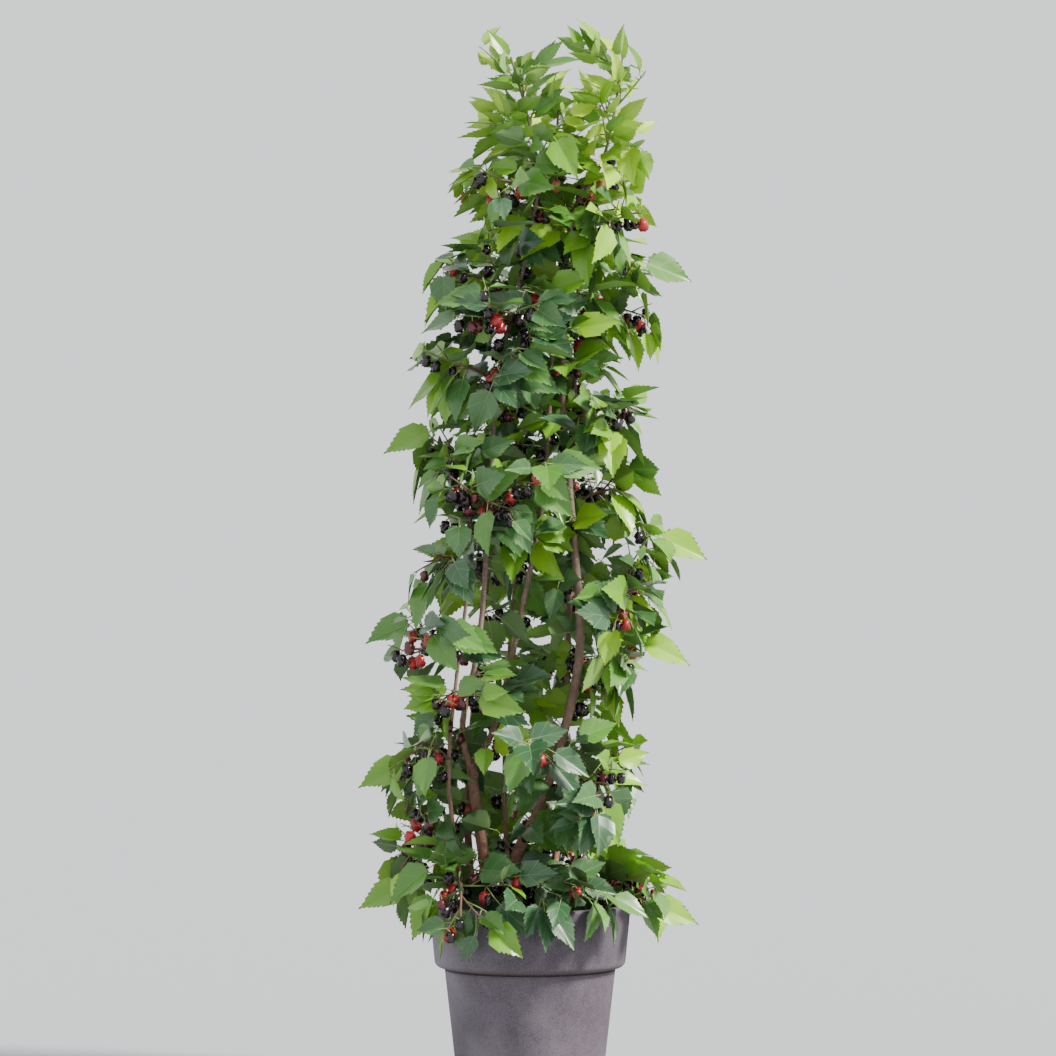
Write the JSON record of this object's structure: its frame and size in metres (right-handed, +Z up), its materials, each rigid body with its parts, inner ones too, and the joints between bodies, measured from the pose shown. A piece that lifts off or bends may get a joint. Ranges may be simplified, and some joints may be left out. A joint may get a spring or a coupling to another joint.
{
  "type": "potted mulberry bush",
  "caption": "Mulberry bush in fruit, trained as a tall narrow column of leafy shoots, growing in a round clay pot with a deep rim.",
  "frame": {"origin": "middle of the pot's flat underside", "axes": "+Z up along the column of the plant, -Y towards the front of the pictured view, +X to its right"},
  "size_m": [0.6871, 0.6546, 2.1094],
  "materials": {
    "clay": "unglazed fired clay, matt, mottled grey-brown with pale bloom and fine specks",
    "soil": "damp crumbly potting soil with bark chips",
    "bark": "smooth reddish-brown bark with pale breathing pores and fine cracks near the ground",
    "foliage": "thin leaves, satin on the upper face and paler and matt below, on slim green-brown twigs"
  },
  "bodies": {
    "root": {"pot": "clay", "soil": "soil", "trunk": "bark", "left_limb": "bark", "right_limb": "bark", "left_bough": "bark", "middle_bough": "bark", "left_stem": "bark", "middle_stem": "bark", "back_left_stem": "bark", "back_right_stem": "bark", "left_leader_foliage": "foliage", "middle_leader_foliage": "foliage", "right_leader_foliage": "foliage", "left_stem_foliage": "foliage", "middle_stem_foliage": "foliage", "back_left_foliage": "foliage", "back_right_foliage": "foliage", "skirt_front_foliage": "foliage", "skirt_right_foliage": "foliage", "skirt_back_foliage": "foliage", "skirt_left_foliage": "foliage", "low_front_right_foliage": "foliage", "low_back_right_foliage": "foliage", "low_back_left_foliage": "foliage", "low_front_left_foliage": "foliage", "lower_front_foliage": "foliage", "lower_right_foliage": "foliage", "lower_back_foliage": "foliage", "lower_left_foliage": "foliage", "waist_front_right_foliage": "foliage", "waist_back_right_foliage": "foliage", "waist_back_left_foliage": "foliage", "waist_front_left_foliage": "foliage", "middle_front_foliage": "foliage", "middle_right_foliage": "foliage", "middle_back_foliage": "foliage", "middle_left_foliage": "foliage", "upper_front_right_foliage": "foliage", "upper_back_right_foliage": "foliage", "upper_back_left_foliage": "foliage", "upper_front_left_foliage": "foliage", "high_front_foliage": "foliage", "high_right_foliage": "foliage", "high_back_foliage": "foliage", "high_left_foliage": "foliage", "top_front_right_foliage": "foliage", "top_back_right_foliage": "foliage", "top_back_left_foliage": "foliage", "top_front_left_foliage": "foliage"}
  },
  "joints": []
}
